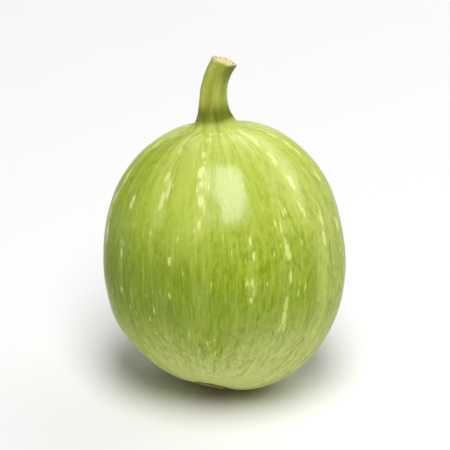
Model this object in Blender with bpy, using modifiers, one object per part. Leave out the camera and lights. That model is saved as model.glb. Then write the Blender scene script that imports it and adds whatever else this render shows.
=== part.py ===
"""
A round gourd, as picked: the fruit and its stem.

The fruit is one solid, a ball drawn out a little along a long axis that leans back. Faint ribs
run from the stem to the blossom scar, which both sit off the long axis. Round the stem is a
shallow hollow, round the scar a dimple, and underneath a small flat spot that the gourd rests
on. The stem is a ridged stalk with a flared foot and a bend near its cut end. A thin gap keeps
it clear of the fruit.

Metres, +Z up. The origin is the middle of the flat spot. The front is -Y, and +X is to the
right of someone who looks at the front.
"""

import math

import bmesh
import bpy
from mathutils import Matrix, Quaternion, Vector

MM = 0.001

# The fruit's body
BODY_RADIUS = 34.8 * MM  # half of the widest girth, without ribs
SHOULDER_LENGTH = 40.6 * MM  # from the widest girth to the stem end
CHIN_LENGTH = 38.2 * MM  # from there to the blossom end
SHOULDER_POWER = 2.2  # outline towards the stem: 2 is an ellipse and more is squarer
CHIN_POWER = 2.0  # outline towards the blossom end
BODY_LEAN = math.radians(14.0)  # lean of the long axis, away from the front

# How far the stem and the scar sit off the long axis
STEM_FORWARD = math.radians(3.0)
STEM_LEFT = math.radians(3.6)
SCAR_FORWARD = math.radians(12.0)
SCAR_LEFT = math.radians(6.0)
OFF_AXIS_FADE = 1.5  # power by which that shift dies away towards the girth

# Relief of the skin
RIB_COUNT = 10
RIB_HEIGHT = 0.28 * MM
LOBE_COUNT = 3
LOBE_HEIGHT = 0.5 * MM  # broad swellings round the blossom end
LOBE_PHASE = math.radians(-30.0)
FULL_CHEEK_HEIGHT = 1.4 * MM  # low on the right
FULL_CHEEK_SPREAD = math.radians(32.0)
FULL_CHEEK_TOWARDS = Vector((0.64, -0.32, -0.70)).normalized()
LEAN_CHEEK_DEPTH = 0.9 * MM  # low on the left
LEAN_CHEEK_SPREAD = math.radians(22.0)
LEAN_CHEEK_TOWARDS = Vector((-0.45, -0.30, -0.84)).normalized()
HOLLOW_DEPTH = 0.8 * MM  # round the stem
HOLLOW_SPREAD = math.radians(15.0)

# The blossom scar, in angles from its middle
DIMPLE_DEPTH = 1.3 * MM
DIMPLE_SPREAD = math.radians(11.0)
SCAR_EDGE = math.radians(7.2)
SCAR_EDGE_WIDTH = math.radians(1.2)
SCAR_RISE = 0.35 * MM
GROOVE_AT = math.radians(8.4)
GROOVE_WIDTH = math.radians(0.9)
GROOVE_DEPTH = 0.45 * MM
PIT_WIDTH = math.radians(1.5)
PIT_DEPTH = 0.5 * MM

# The stem, in heights above the middle of the stem's hollow
STEM_LEAN = math.radians(10.0)  # away from the front
STEM_HEIGHT = 20.0 * MM
STEM_ROOT = 2.6 * MM  # how far it is drawn into the fruit before the fruit's shape is cut out
STEM_TIP_RADIUS = 3.75 * MM
STEM_FLARE = 3.3 * MM  # what the foot adds to the radius
STEM_FLARE_FADE = 4.0 * MM
STEM_TIP_SWELL = 0.15 * MM
STEM_TIP_SWELL_FADE = 1.6 * MM
STEM_TIP_ROUND = 0.35 * MM
STEM_SWAY = 0.8 * MM  # how far the shaft stands to the left of its foot
STEM_SWAY_FADE = 3.0 * MM
BEND_START = 10.0 * MM
BEND_RATE = 28.5  # metres to the right for each square metre of height above the bend's start
STEM_RIDGES = 5
STEM_RIDGE_DEPTH = 0.17  # of the radius
FOOT_RIDGES = 10
FOOT_RIDGE_DEPTH = 0.12  # of the radius
FOOT_RIDGE_FADE = 3.0 * MM

SPOT_DEPTH = 1.05 * MM  # how much of the fruit's underside the flat spot takes away
GAP = 0.3 * MM  # between stem and fruit

# How finely the pieces are drawn
FRUIT_SEGMENTS = 72
FRUIT_RING_STEP = 5.0  # degrees
SCAR_RINGS = (1.4, 3.0, 5.0, 6.5, 7.5, 8.4, 9.3, 10.6, 13.0, 16.0)  # degrees from the scar
STEM_SEGMENTS = 50
STEM_RINGS = 17

# Red, green, blue, roughness
SKIN_FINISH = (0.34, 0.45, 0.06, 0.36)
STALK_FINISH = (0.36, 0.41, 0.09, 0.60)


def clear_scene():
    """Removes every object that the scene starts with."""
    for thing in list(bpy.data.objects):
        bpy.data.objects.remove(thing, do_unlink=True)


def new_collection(name):
    """Adds an empty collection to the scene."""
    collection = bpy.data.collections.new(name)
    bpy.context.scene.collection.children.link(collection)
    return collection


def new_material(name, finish):
    """Makes a plain material from its red, green, blue and roughness."""
    red, green, blue, roughness = finish
    material = bpy.data.materials.new(name)
    material.use_nodes = True
    shader = material.node_tree.nodes["Principled BSDF"]
    shader.inputs["Base Color"].default_value = (red, green, blue, 1.0)
    shader.inputs["Roughness"].default_value = roughness
    shader.inputs["Metallic"].default_value = 0.0
    return material


def turned(name, profile, segments, collection):
    """Turns a profile of (radius, height) points, listed top to bottom, into a solid of one mesh."""
    outline = bpy.data.meshes.new(name + "_profile")
    outline.from_pydata(
        [(radius, 0.0, height) for radius, height in profile],
        [(index, index + 1) for index in range(len(profile) - 1)],
        [],
    )
    lathe = bpy.data.objects.new(name + "_lathe", outline)
    collection.objects.link(lathe)
    screw = lathe.modifiers.new("Turn", "SCREW")
    screw.axis = "Z"
    screw.steps = segments
    screw.render_steps = segments
    screw.use_merge_vertices = True
    screw.merge_threshold = 0.0001
    depsgraph = bpy.context.evaluated_depsgraph_get()
    mesh = bpy.data.meshes.new_from_object(lathe.evaluated_get(depsgraph))
    mesh.name = name
    bpy.data.objects.remove(lathe)
    piece = bpy.data.objects.new(name, mesh)
    collection.objects.link(piece)
    return piece


def reshape(piece, rule):
    """Sends every point of a turned piece through a rule that gives its place on the gourd."""
    for vertex in piece.data.vertices:
        vertex.co = rule(vertex.co)
    piece.data.update()


def bump(offset, width):
    """A smooth bump of height 1 at offset 0."""
    return math.exp(-((offset / width) ** 2))


def step(value, edge, width):
    """Falls smoothly from 1 to 0 as value passes edge."""
    share = min(max((value - edge) / width + 0.5, 0.0), 1.0)
    return 1.0 - share * share * (3.0 - 2.0 * share)


def lean_back(angle):
    """The turn about X that tips +Z away from the front."""
    return Matrix.Rotation(-angle, 3, "X")


# Directions of the stem and the scar, seen from the body's middle, with the long axis upright
STEM_TOWARDS = Vector((-math.tan(STEM_LEFT), -math.tan(STEM_FORWARD), 1.0)).normalized()
SCAR_TOWARDS = Vector((-math.tan(SCAR_LEFT), -math.tan(SCAR_FORWARD), -1.0)).normalized()


def aimed(direction):
    """Shifts a direction of the plain ball, so that its ends meet the stem and the scar."""
    if direction.z > 0.0:
        turn = Vector((0.0, 0.0, 1.0)).rotation_difference(STEM_TOWARDS)
    else:
        turn = Vector((0.0, 0.0, -1.0)).rotation_difference(SCAR_TOWARDS)
    share = abs(direction.z) ** OFF_AXIS_FADE
    return Quaternion().slerp(turn, share) @ direction


def body_reach(direction):
    """Distance from the body's middle to its plain surface."""
    power = SHOULDER_POWER if direction.z > 0.0 else CHIN_POWER
    across = math.hypot(direction.x, direction.y) / BODY_RADIUS
    along = abs(direction.z) / (SHOULDER_LENGTH if direction.z > 0.0 else CHIN_LENGTH)
    return (across**power + along**power) ** (-1.0 / power)


def rib_relief(around, down):
    """Faint ribs of uneven width, which die away at both ends."""
    uneven = around + 0.07 * math.sin(3.0 * around + 1.0) + 0.05 * math.sin(2.0 * around + 2.6)
    strength = math.sin(down) ** 0.7 * (0.75 + 0.25 * math.sin(2.0 * around + 0.7))
    return RIB_HEIGHT * strength * math.cos(RIB_COUNT * uneven)


def lobe_relief(around, down):
    """Broad swellings that surround the blossom end."""
    lowness = 0.5 - 0.5 * math.cos(down)
    return LOBE_HEIGHT * lowness**4 * math.sin(down) * math.cos(LOBE_COUNT * (around - LOBE_PHASE))


def scar_relief(away):
    """Dimple, raised corky disc, groove and pit of the blossom scar."""
    relief = -DIMPLE_DEPTH * bump(away, DIMPLE_SPREAD)
    relief += SCAR_RISE * step(away, SCAR_EDGE, SCAR_EDGE_WIDTH)
    relief -= GROOVE_DEPTH * bump(away - GROOVE_AT, GROOVE_WIDTH)
    relief -= PIT_DEPTH * bump(away, PIT_WIDTH)
    return relief


def skin_point(ball_point, lift=0.0):
    """Place on the fruit's skin, from its body's middle, of a point of the plain ball."""
    direction = ball_point.normalized()
    around = math.atan2(direction.y, direction.x)
    down = math.acos(min(max(direction.z, -1.0), 1.0))
    towards = aimed(direction)
    reach = body_reach(towards) + lift
    reach += rib_relief(around, down) + lobe_relief(around, down)
    reach += FULL_CHEEK_HEIGHT * bump(towards.angle(FULL_CHEEK_TOWARDS), FULL_CHEEK_SPREAD)
    reach -= LEAN_CHEEK_DEPTH * bump(towards.angle(LEAN_CHEEK_TOWARDS), LEAN_CHEEK_SPREAD)
    reach -= HOLLOW_DEPTH * bump(down, HOLLOW_SPREAD)
    reach += scar_relief(math.pi - down)
    return lean_back(BODY_LEAN) @ (towards * reach)


def ball_profile():
    """Half circle from the stem end to the scar, with its points closer together at the scar."""
    degrees = [180.0 - angle for angle in (0.0,) + SCAR_RINGS]
    angle = FRUIT_RING_STEP * math.floor((180.0 - SCAR_RINGS[-1]) / FRUIT_RING_STEP)
    while angle > 0.0:
        if angle < degrees[-1] - 0.5 * FRUIT_RING_STEP:
            degrees.append(angle)
        angle -= FRUIT_RING_STEP
    degrees.append(0.0)
    points = []
    for value in reversed(degrees):
        turn = math.radians(value)
        radius = 0.0 if value in (0.0, 180.0) else BODY_RADIUS * math.sin(turn)
        points.append((radius, BODY_RADIUS * math.cos(turn)))
    return points


def make_fruit(collection):
    """The fruit, around its body's middle, before the flat spot is cut."""
    fruit = turned("fruit", ball_profile(), FRUIT_SEGMENTS, collection)
    reshape(fruit, skin_point)
    return fruit


def cut_flat_spot(fruit):
    """Planes the flat spot off the underside and gives its middle."""
    level = min(vertex.co.z for vertex in fruit.data.vertices) + SPOT_DEPTH
    mesh = bmesh.new()
    mesh.from_mesh(fruit.data)
    cut = bmesh.ops.bisect_plane(
        mesh,
        geom=mesh.verts[:] + mesh.edges[:] + mesh.faces[:],
        dist=1e-7,
        plane_co=(0.0, 0.0, level),
        plane_no=(0.0, 0.0, 1.0),
        clear_inner=True,
    )
    rim = [part for part in cut["geom_cut"] if isinstance(part, bmesh.types.BMEdge)]
    face = bmesh.ops.contextual_create(mesh, geom=rim)["faces"][0]
    bmesh.ops.recalc_face_normals(mesh, faces=mesh.faces[:])
    middle = face.calc_center_median_weighted()
    middle.z = level
    for part in rim:
        part.smooth = False
    mesh.to_mesh(fruit.data)
    mesh.free()
    return middle


def stem_radius(height):
    """Radius of the stem over its ridges: a flared foot, a slim shaft and a slightly swollen end."""
    flare = STEM_FLARE * math.exp(-height / STEM_FLARE_FADE)
    swell = STEM_TIP_SWELL * math.exp(-(STEM_HEIGHT - height) / STEM_TIP_SWELL_FADE)
    return STEM_TIP_RADIUS + flare + swell


def stem_profile():
    """Profile of the stem from its cut end down to its root, before ridges and bend."""
    top = stem_radius(STEM_HEIGHT)
    points = [(0.0, STEM_HEIGHT), (top - STEM_TIP_ROUND, STEM_HEIGHT)]
    for index in range(STEM_RINGS):
        share = index / (STEM_RINGS - 1)
        height = STEM_HEIGHT - STEM_TIP_ROUND
        height -= (height + STEM_ROOT) * (1.0 - (1.0 - share) ** 1.35)
        points.append((stem_radius(height), height))
    points.append((0.0, -STEM_ROOT))
    return points


def stem_sideways(height):
    """How far right of its foot the middle of the stem lies at a height, and its slope there."""
    fade = math.exp(-max(height, 0.0) / STEM_SWAY_FADE)
    past = max(height - BEND_START, 0.0)
    place = BEND_RATE * past * past - STEM_SWAY * (1.0 - fade)
    slope = 2.0 * BEND_RATE * past - STEM_SWAY / STEM_SWAY_FADE * fade
    return place, slope if height > 0.0 else 0.0


def stem_rule(foot):
    """The rule that ridges and bends the stem's points and stands them on the fruit."""
    stand = lean_back(STEM_LEAN)

    def rule(point):
        around = math.atan2(point.y, point.x)
        foot_share = math.exp(-max(point.z, 0.0) / FOOT_RIDGE_FADE)
        shaft_ridge = STEM_RIDGE_DEPTH * (0.5 - 0.5 * math.cos(STEM_RIDGES * around))
        foot_ridge = FOOT_RIDGE_DEPTH * (0.5 - 0.5 * math.cos(FOOT_RIDGES * around))
        keep = 1.0 - (1.0 - foot_share) * shaft_ridge - foot_share * foot_ridge
        place, slope = stem_sideways(point.z)
        centre = Vector((place, 0.0, point.z))
        tilt = Matrix.Rotation(math.atan(slope), 3, "Y")
        across = tilt @ Vector((point.x * keep, point.y * keep, 0.0))
        return foot + stand @ (centre + across)

    return rule


def make_stem(collection, cutters):
    """The stem, with the fruit's shape and the gap cut out of its foot."""
    foot = skin_point(Vector((0.0, 0.0, 1.0)))
    stem = turned("stem", stem_profile(), STEM_SEGMENTS, collection)
    reshape(stem, stem_rule(foot))
    cutter = turned("fruit_cutter", ball_profile(), FRUIT_SEGMENTS, cutters)
    reshape(cutter, lambda point: skin_point(point, GAP))
    cutter.hide_render = True
    cutter.display_type = "WIRE"
    trim = stem.modifiers.new("Sit on the fruit", "BOOLEAN")
    trim.operation = "DIFFERENCE"
    trim.solver = "EXACT"
    trim.object = cutter
    return stem, cutter


def main():
    """Builds the gourd and stands it on its flat spot."""
    clear_scene()
    parts = new_collection("round_gourd")
    cutters = new_collection("cutters")
    fruit = make_fruit(parts)
    stem, cutter = make_stem(parts, cutters)
    spot = cut_flat_spot(fruit)

    middle = bpy.data.objects.new("body_middle", None)
    middle.empty_display_size = 10.0 * MM
    parts.objects.link(middle)
    middle.location = -spot
    for piece in (fruit, stem, cutter):
        piece.parent = middle

    fruit.data.materials.append(new_material("skin", SKIN_FINISH))
    stem.data.materials.append(new_material("stalk", STALK_FINISH))
    fruit.data.shade_smooth()
    stem.data.shade_smooth()
    stem.data.set_sharp_from_angle(angle=math.radians(35.0))


main()
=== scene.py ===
"""
The looks of a round gourd: its skin, blossom scar and stem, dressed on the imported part.

The fruit and the stem replace the two plain solids with finer meshes of the same form. Colour,
gloss and the finest texture of the skin come from node materials, which read where on the skin
they are from attributes of the mesh. Metres, +Z up, with the front at -Y.
"""

from __future__ import annotations

import logging
import math
from dataclasses import dataclass, field
from enum import Enum
from typing import Union

import bpy
import numpy as np
from mathutils import Matrix, Quaternion, Vector

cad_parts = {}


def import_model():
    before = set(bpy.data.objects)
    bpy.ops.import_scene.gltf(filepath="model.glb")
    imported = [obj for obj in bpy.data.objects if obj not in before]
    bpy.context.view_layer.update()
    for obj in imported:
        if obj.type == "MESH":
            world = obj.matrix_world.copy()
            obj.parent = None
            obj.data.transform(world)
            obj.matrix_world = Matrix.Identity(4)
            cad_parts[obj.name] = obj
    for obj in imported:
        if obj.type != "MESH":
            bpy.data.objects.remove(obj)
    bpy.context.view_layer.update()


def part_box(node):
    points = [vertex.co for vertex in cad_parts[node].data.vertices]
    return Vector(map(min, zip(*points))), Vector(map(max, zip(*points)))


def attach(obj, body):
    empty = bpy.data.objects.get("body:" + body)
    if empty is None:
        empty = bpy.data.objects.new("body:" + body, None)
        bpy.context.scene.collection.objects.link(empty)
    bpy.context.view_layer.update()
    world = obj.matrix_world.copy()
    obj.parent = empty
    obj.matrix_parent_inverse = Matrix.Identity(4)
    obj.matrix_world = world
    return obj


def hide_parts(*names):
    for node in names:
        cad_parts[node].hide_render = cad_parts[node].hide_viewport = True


LOG = logging.getLogger("round_gourd")
MM = 0.001
SKIN_PLACE = "skin_place"
SKIN_SPAN = "skin_span"
STALK_PLACE = "stalk_place"
STALK_SHADE = "stalk_shade"
NOISE_SPAN = (0.25, 0.75)
WAVE_SPREAD = (0.7, 1.5)

Socket = bpy.types.NodeSocket
Source = Union[Socket, float]
Triple = tuple[float, float, float]


class Sum(Enum):
    """Sums that a material does on single numbers."""

    ADD = "ADD"
    SUBTRACT = "SUBTRACT"
    MULTIPLY = "MULTIPLY"
    ABSOLUTE = "ABSOLUTE"
    ROUND = "ROUND"
    SINE = "SINE"
    MAXIMUM = "MAXIMUM"
    TURN = "ARCTAN2"
    WRAP = "FLOORED_MODULO"


def shown(red: int, green: int, blue: int) -> Triple:
    """Turns a colour as a screen shows it into the linear one that a shader takes.

    Args:
        red: from 0 to 255.
        green: from 0 to 255.
        blue: from 0 to 255.

    Returns:
        The linear red, green and blue, from 0 to 1.
    """
    steps = [value / 255.0 for value in (red, green, blue)]
    return tuple(
        step / 12.92 if step <= 0.04045 else ((step + 0.055) / 1.055) ** 2.4 for step in steps
    )


def front_turn(azimuth: float) -> Triple:
    """The level direction at some degrees to the right of the front."""
    turn = math.radians(azimuth - 90.0)
    return math.cos(turn), math.sin(turn), 0.0


def even_turns(sides: int) -> np.ndarray:
    """Angles spaced evenly round a circle."""
    return np.arange(sides) * 2.0 * math.pi / sides


def circle(turns: np.ndarray) -> np.ndarray:
    """Points at some angles on a circle of radius 1, one in each row."""
    return np.stack([np.cos(turns), np.sin(turns)], axis=1)


def bump(offset: np.ndarray, width: float) -> np.ndarray:
    """A smooth bump of height 1 at offset 0."""
    return np.exp(-((offset / width) ** 2))


def falling(value: np.ndarray, edge: float, width: float) -> np.ndarray:
    """Falls smoothly from 1 to 0 as value passes edge.

    Args:
        value: where to read it.
        edge: where it has fallen half way.
        width: how long the fall takes.

    Returns:
        Numbers from 0 to 1.
    """
    share = np.clip((value - edge) / width + 0.5, 0.0, 1.0)
    return 1.0 - share * share * (3.0 - 2.0 * share)


def waves(points: np.ndarray, length: float, seed: int, count: int = 28) -> np.ndarray:
    """Smooth irregular ripples, as a sum of plane waves in random directions.

    Args:
        points: places, one in each row.
        length: the mean wavelength, in the units of the points.
        seed: picks the directions and phases.
        count: how many waves are added.

    Returns:
        One number for each point, mostly between -1.5 and 1.5.
    """
    draw = np.random.default_rng(seed)
    towards = draw.normal(size=(count, points.shape[1]))
    towards /= np.linalg.norm(towards, axis=1, keepdims=True)
    rate = 2.0 * math.pi / (length * draw.uniform(*WAVE_SPREAD, size=count))
    phase = draw.uniform(0.0, 2.0 * math.pi, size=count)
    total = np.zeros(len(points))
    for index in range(count):
        total += np.cos(points @ (towards[index] * rate[index]) + phase[index])
    return total / math.sqrt(count / 2.0)


def lean_back(angle: float) -> np.ndarray:
    """The turn about X that tips +Z away from the front."""
    return np.array(Matrix.Rotation(-angle, 3, "X"))


def rotate(turn: Quaternion, share: np.ndarray, points: np.ndarray) -> np.ndarray:
    """Turns each point by its own share of one rotation.

    Args:
        turn: the whole rotation.
        share: how much of it each point takes, from 0 to 1.
        points: places, one in each row.

    Returns:
        The turned places.
    """
    axis = np.array(turn.axis)
    angle = share * turn.angle
    cosine = np.cos(angle)[:, None]
    sine = np.sin(angle)[:, None]
    along = (points @ axis)[:, None] * axis
    return points * cosine + np.cross(axis, points) * sine + along * (1.0 - cosine)


@dataclass(frozen=True)
class GourdForm:
    """The fruit's outer form, as the part's own source describes it, in metres and radians."""

    radius: float = 34.8 * MM
    shoulder_length: float = 40.6 * MM
    chin_length: float = 38.2 * MM
    shoulder_power: float = 2.2
    chin_power: float = 2.0
    lean: float = math.radians(14.0)
    stem_forward: float = math.radians(3.0)
    stem_left: float = math.radians(3.6)
    scar_forward: float = math.radians(12.0)
    scar_left: float = math.radians(6.0)
    off_axis_fade: float = 1.5
    rib_count: int = 10
    rib_height: float = 0.28 * MM
    rib_sways: tuple[Triple, ...] = ((0.07, 3.0, 1.0), (0.05, 2.0, 2.6))
    rib_strength: Triple = (0.25, 2.0, 0.7)
    rib_end_power: float = 0.7
    lobe_count: int = 3
    lobe_height: float = 0.5 * MM
    lobe_phase: float = math.radians(-30.0)
    lobe_power: int = 4
    full_cheek_height: float = 1.4 * MM
    full_cheek_spread: float = math.radians(32.0)
    full_cheek_towards: Triple = (0.64, -0.32, -0.70)
    lean_cheek_depth: float = 0.9 * MM
    lean_cheek_spread: float = math.radians(22.0)
    lean_cheek_towards: Triple = (-0.45, -0.30, -0.84)
    hollow_depth: float = 0.8 * MM
    hollow_spread: float = math.radians(15.0)
    dimple_depth: float = 1.3 * MM
    dimple_spread: float = math.radians(11.0)
    scar_edge: float = math.radians(7.2)
    scar_edge_width: float = math.radians(1.2)
    scar_rise: float = 0.35 * MM
    groove_at: float = math.radians(8.4)
    groove_width: float = math.radians(0.9)
    groove_depth: float = 0.45 * MM
    pit_width: float = math.radians(1.5)
    pit_depth: float = 0.5 * MM
    swell_height: float = 0.10 * MM
    swell_length: float = 17.0 * MM
    swell_seed: int = 11
    fibre_height: float = 0.026 * MM
    fibre_length: float = 4.5 * MM
    fibre_stretch: float = 0.16
    fibre_seed: int = 12
    cork_height: float = 0.07 * MM
    cork_length: float = 0.9 * MM
    cork_fade: float = 0.03
    cork_seed: int = 32
    notch_share: float = 0.55
    notch_length: float = 0.9
    notch_waves: int = 12
    notch_seed: int = 31
    scar_reach: float = 33.0 * MM

    def aimed(self, directions: np.ndarray) -> np.ndarray:
        """Shifts directions of a plain ball, so that its ends meet the stem and the scar.

        Args:
            directions: unit vectors, one in each row.

        Returns:
            The shifted unit vectors.
        """
        stem = Vector((-math.tan(self.stem_left), -math.tan(self.stem_forward), 1.0))
        scar = Vector((-math.tan(self.scar_left), -math.tan(self.scar_forward), -1.0))
        share = np.abs(directions[:, 2]) ** self.off_axis_fade
        upper = rotate(Vector((0, 0, 1)).rotation_difference(stem), share, directions)
        lower = rotate(Vector((0, 0, -1)).rotation_difference(scar), share, directions)
        return np.where(directions[:, 2:] > 0.0, upper, lower)

    def plain_reach(self, towards: np.ndarray) -> np.ndarray:
        """Distance from the body's middle to its surface without relief.

        Args:
            towards: unit vectors, one in each row.

        Returns:
            One distance for each direction.
        """
        upper = towards[:, 2] > 0.0
        power = np.where(upper, self.shoulder_power, self.chin_power)
        across = np.hypot(towards[:, 0], towards[:, 1]) / self.radius
        along = np.abs(towards[:, 2]) / np.where(upper, self.shoulder_length, self.chin_length)
        return (across**power + along**power) ** (-1.0 / power)

    def ribs(self, around: np.ndarray, down: np.ndarray) -> np.ndarray:
        """Faint ribs and the swellings round the blossom end.

        Args:
            around: angle round the fruit.
            down: angle from the stem.

        Returns:
            Height of the relief.
        """
        uneven = around
        for size, turns, phase in self.rib_sways:
            uneven = uneven + size * np.sin(turns * around + phase)
        size, turns, phase = self.rib_strength
        strength = np.sin(down) ** self.rib_end_power * (1.0 - size + size * np.sin(turns * around + phase))
        ribs = self.rib_height * strength * np.cos(self.rib_count * uneven)
        lowness = 0.5 - 0.5 * np.cos(down)
        lobes = np.sin(down) * np.cos(self.lobe_count * (around - self.lobe_phase))
        return ribs + self.lobe_height * lowness**self.lobe_power * lobes

    def scar(self, around: np.ndarray, away: np.ndarray) -> np.ndarray:
        """Dimple, corky disc, notched groove and pit of the blossom scar.

        Args:
            around: angle round the fruit.
            away: angle from the middle of the scar.

        Returns:
            Height of the relief.
        """
        ring = circle(around)
        notches = 1.0 + self.notch_share * waves(ring, self.notch_length, self.notch_seed, self.notch_waves)
        spot = ring * away[:, None] * self.scar_reach
        cork = waves(spot, self.cork_length, self.cork_seed)
        cork *= falling(away, self.scar_edge, self.cork_fade)
        relief = -self.dimple_depth * bump(away, self.dimple_spread)
        relief += self.scar_rise * falling(away, self.scar_edge, self.scar_edge_width)
        relief -= self.groove_depth * notches * bump(away - self.groove_at, self.groove_width)
        relief -= self.pit_depth * bump(away, self.pit_width)
        return relief + self.cork_height * cork

    def skin(self, around: np.ndarray, down: np.ndarray) -> np.ndarray:
        """Places on the skin, measured from the body's middle.

        Args:
            around: angle round the fruit.
            down: angle from the stem, from 0 to pi.

        Returns:
            Places, one in each row.
        """
        sine = np.sin(down)
        ball = np.stack([sine * np.cos(around), sine * np.sin(around), np.cos(down)], axis=1)
        towards = self.aimed(ball)
        reach = self.plain_reach(towards) + self.ribs(around, down)
        for height, spread, centre in (
            (self.full_cheek_height, self.full_cheek_spread, self.full_cheek_towards),
            (-self.lean_cheek_depth, self.lean_cheek_spread, self.lean_cheek_towards),
        ):
            middle = np.array(centre) / np.linalg.norm(centre)
            reach += height * bump(np.arccos(np.clip(towards @ middle, -1.0, 1.0)), spread)
        reach -= self.hollow_depth * bump(down, self.hollow_spread)
        reach += self.scar(around, math.pi - down)
        place = ball * self.radius
        reach += self.swell_height * waves(place, self.swell_length, self.swell_seed) * sine
        threads = place * np.array([1.0, 1.0, self.fibre_stretch])
        reach += self.fibre_height * waves(threads, self.fibre_length, self.fibre_seed) * sine
        return (towards * reach[:, None]) @ lean_back(self.lean).T


def ringed_mesh(name: str, start: np.ndarray, rings: np.ndarray, end: np.ndarray) -> bpy.types.Mesh:
    """Makes a closed mesh from rings of points and a point at either end, with its own bake map.

    Args:
        name: the mesh's name.
        start: the point before the first ring.
        rings: points by ring and by place round it.
        end: the point after the last ring.

    Returns:
        The mesh, smooth, with its faces pointing out when rings turn left going from start to end.
    """
    count, sides = rings.shape[:2]
    points = np.vstack([start[None], rings.reshape(-1, 3), end[None]])
    last = len(points) - 1
    faces: list[tuple[int, ...]] = []
    corners: list[tuple[float, float]] = []
    for side in range(sides):
        after = (side + 1) % sides
        left, right, half = side / sides, (side + 1) / sides, (side + 0.5) / sides
        low, high = 1.0 / (count + 1), count / (count + 1)
        faces.append((0, 1 + side, 1 + after))
        corners += [(half, 0.0), (left, low), (right, low)]
        base = 1 + (count - 1) * sides
        faces.append((last, base + after, base + side))
        corners += [(half, 1.0), (right, high), (left, high)]
    for ring in range(count - 1):
        base, under = 1 + ring * sides, 1 + (ring + 1) * sides
        low, high = (ring + 1) / (count + 1), (ring + 2) / (count + 1)
        for side in range(sides):
            after = (side + 1) % sides
            left, right = side / sides, (side + 1) / sides
            faces.append((base + side, under + side, under + after, base + after))
            corners += [(left, low), (left, high), (right, high), (right, low)]
    mesh = bpy.data.meshes.new(name)
    mesh.from_pydata(points.tolist(), [], faces)
    chart = mesh.uv_layers.new(name="OFBake")
    chart.data.foreach_set("uv", np.array(corners, dtype=np.float32).ravel())
    mesh.shade_smooth()
    return mesh


def linked(name: str, data: bpy.types.ID) -> bpy.types.Object:
    """Makes an object from its data and links it to the scene.

    Args:
        name: the object's name.
        data: its mesh, light or camera.

    Returns:
        The object.
    """
    made = bpy.data.objects.new(name, data)
    bpy.context.scene.collection.objects.link(made)
    return made


def mark(mesh: bpy.types.Mesh, name: str, values: np.ndarray) -> None:
    """Stores one number or one vector for each point of a mesh.

    Args:
        mesh: the mesh.
        name: the attribute's name.
        values: numbers, or rows of three numbers.
    """
    kind, key = ("FLOAT", "value") if values.ndim == 1 else ("FLOAT_VECTOR", "vector")
    attribute = mesh.attributes.new(name, kind, "POINT")
    attribute.data.foreach_set(key, np.ascontiguousarray(values, dtype=np.float32).ravel())


class Reading(Enum):
    """What the finish of a piece follows: a place on it, or a pattern that covers it."""

    DOWN = "share of the way from the stem to the blossom scar"
    AROUND = "angle round the fruit"
    SPAN = "millimetres from the fruit's axis"
    FACING = "how far the surface turns away from the eye, which only the gloss may follow"
    THREADS = "fine lengthwise threads"
    MOTTLE = "fine mottling"
    STREAKS = "broad lengthwise streaks"
    CLOUDS = "large soft clouds"
    SCAR_AWAY = "millimetres from the middle of the scar"
    SCAR_EDGE = "the same, with ragged edges"
    GRAIN = "coarse grain of cork or pith"
    UP = "share of the way up the stalk"
    SIDE = "how far round to the side that the stalk bends to"
    GROOVE = "depth in the stalk's grooves"
    PATCHES = "soft patches on the stalk"
    OUTWARD = "share of the way out on the cut face"
    STRANDS = "strands round the cut face"


@dataclass(frozen=True)
class Fade:
    """A smooth change from one number to another as a reading goes from low to high."""

    low: float
    high: float
    at_low: float = 0.0
    at_high: float = 1.0


@dataclass(frozen=True)
class Grain:
    """Smooth noise over a piece: how fine it is across and along, its layers and their strength."""

    scale: Triple
    layers: float = 2.0
    roughness: float = 0.5


@dataclass(frozen=True)
class Coat:
    """A thin coat of colour. How much of it shows is the product of what it follows."""

    name: str
    colour: Triple
    follows: tuple[tuple[Reading, Fade], ...]


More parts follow.
